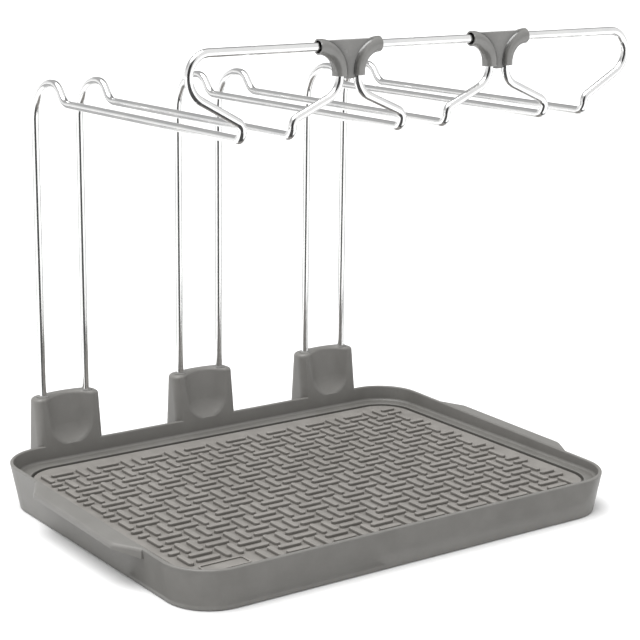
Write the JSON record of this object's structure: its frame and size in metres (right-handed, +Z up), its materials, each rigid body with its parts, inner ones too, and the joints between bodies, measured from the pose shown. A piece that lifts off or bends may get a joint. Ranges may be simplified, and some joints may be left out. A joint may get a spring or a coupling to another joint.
{
  "type": "bottle drying rack",
  "caption": "Drip tray with a ribbed mat and end handles, under paired steel wire rails that hang bottles and stemmed glasses upside down.",
  "frame": {"origin": "under the middle of the whole footprint, on the surface the feet stand on", "axes": "+X along the long side of the tray, from the left frame to the right one; +Y from the open front to the leg sockets; +Z up"},
  "size_m": [0.424, 0.3331, 0.3854],
  "materials": {
    "tray_plastic": "fine satin moulding texture, taupe grey",
    "mat_plastic": "matt, slightly warmer grey, ribbed",
    "wire_steel": "polished stainless steel wire",
    "connector_plastic": "satin moulded plastic, taupe grey",
    "screw_steel": "plain steel screw",
    "grommet_rubber": "matt grey rubber",
    "foot_rubber": "matt black rubber"
  },
  "bodies": {
    "tray_base": {"tray": "tray_plastic", "foot_front_left": "foot_rubber", "foot_front_right": "foot_rubber", "foot_rear_left": "foot_rubber", "foot_rear_right": "foot_rubber", "grommet_left_frame_left_leg": "grommet_rubber", "grommet_left_frame_right_leg": "grommet_rubber", "grommet_centre_frame_left_leg": "grommet_rubber", "grommet_centre_frame_right_leg": "grommet_rubber", "grommet_right_frame_left_leg": "grommet_rubber", "grommet_right_frame_right_leg": "grommet_rubber"},
    "mat": {"drying_mat": "mat_plastic"},
    "rack": {"wire_frame_left": "wire_steel", "wire_frame_centre": "wire_steel", "wire_frame_right": "wire_steel", "connector_left_front_shell": "connector_plastic", "connector_left_rear_shell": "connector_plastic", "connector_left_screw": "screw_steel", "connector_right_front_shell": "connector_plastic", "connector_right_rear_shell": "connector_plastic", "connector_right_screw": "screw_steel"}
  },
  "joints": [
    {"name": "rack_lift_out", "type": "slide", "parent": "tray_base", "child": "rack", "axis": [0, 0, 1], "range_m": [0, 0.07]},
    {"name": "mat_lift_out", "type": "slide", "parent": "tray_base", "child": "mat", "axis": [0, 0, 1], "range_m": [0, 0.025]}
  ]
}
